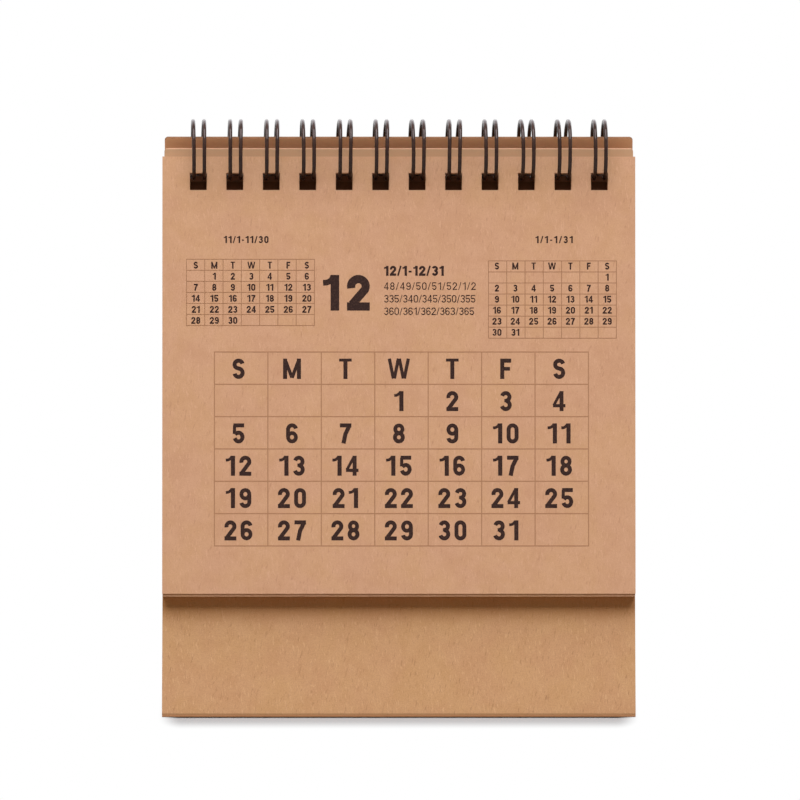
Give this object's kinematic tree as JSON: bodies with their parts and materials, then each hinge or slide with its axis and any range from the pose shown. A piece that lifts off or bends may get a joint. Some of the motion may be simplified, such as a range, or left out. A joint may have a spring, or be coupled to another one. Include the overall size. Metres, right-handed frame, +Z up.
{
  "type": "desk calendar",
  "caption": "Tent-shaped kraft board desk calendar: folded stand, hanging pad of leaves, and a front leaf that turns up over a twin-loop wire binding.",
  "frame": {"origin": "centre of the stand's underside, where it stands on the desk", "axes": "+Z up, +Y to the back of the calendar, +X to the reader's right, along the wire binding"},
  "size_m": [0.11, 0.0703, 0.1341],
  "materials": {
    "kraft_board": "matte",
    "kraft_paper": "matte",
    "binding_wire": "satin",
    "print_ink": "matte"
  },
  "bodies": {
    "base": {"stand": "kraft_board", "wire_binding": "binding_wire", "leaf_pad": "kraft_paper"},
    "leaf": {"front_leaf": "kraft_paper", "printed_rules": "print_ink", "printed_marks": "print_ink"}
  },
  "joints": [
    {"name": "leaf_turn", "type": "hinge", "parent": "base", "child": "leaf", "pos_m": [0, 0.00147, 0.12694], "axis": [-1, 0, 0], "range_deg": [0, 155]}
  ]
}
